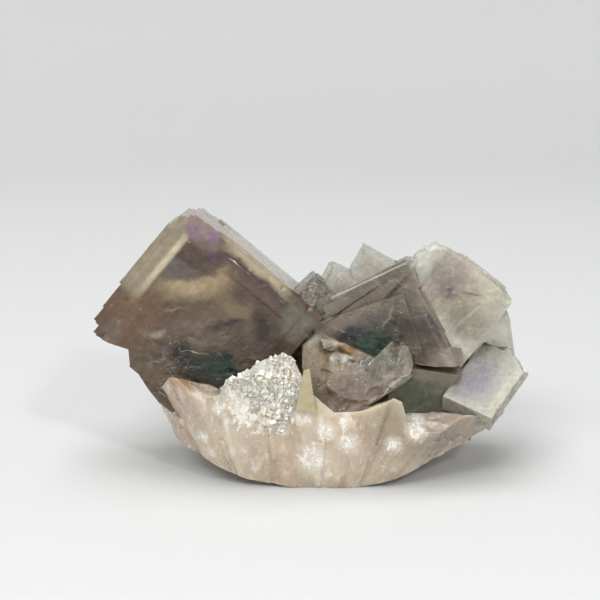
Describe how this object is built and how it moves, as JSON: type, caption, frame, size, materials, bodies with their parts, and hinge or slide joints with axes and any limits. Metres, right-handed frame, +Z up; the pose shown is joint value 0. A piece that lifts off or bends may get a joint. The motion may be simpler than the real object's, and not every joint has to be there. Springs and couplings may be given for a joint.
{
  "type": "fluorite crystal cluster on quartz",
  "caption": "Hand specimen of intergrown cubic fluorite crystals, smoky purple to pale green, bedded in a fan of milky columnar quartz with a flat cut underside.",
  "frame": {"origin": "middle of the flat cut underside of the quartz matrix", "axes": "+Z up, +X from the large left-hand crystal towards the right-hand crystals, -Y the side that the show faces look at"},
  "size_m": [0.0602, 0.0327, 0.0368],
  "materials": {
    "milky_quartz": "satin",
    "smoky_fluorite": "gloss",
    "pale_fluorite": "gloss"
  },
  "bodies": {
    "root": {"quartz_matrix": "milky_quartz", "left_fluorite_crystal": "smoky_fluorite", "right_fluorite_crystals": "pale_fluorite"}
  },
  "joints": []
}
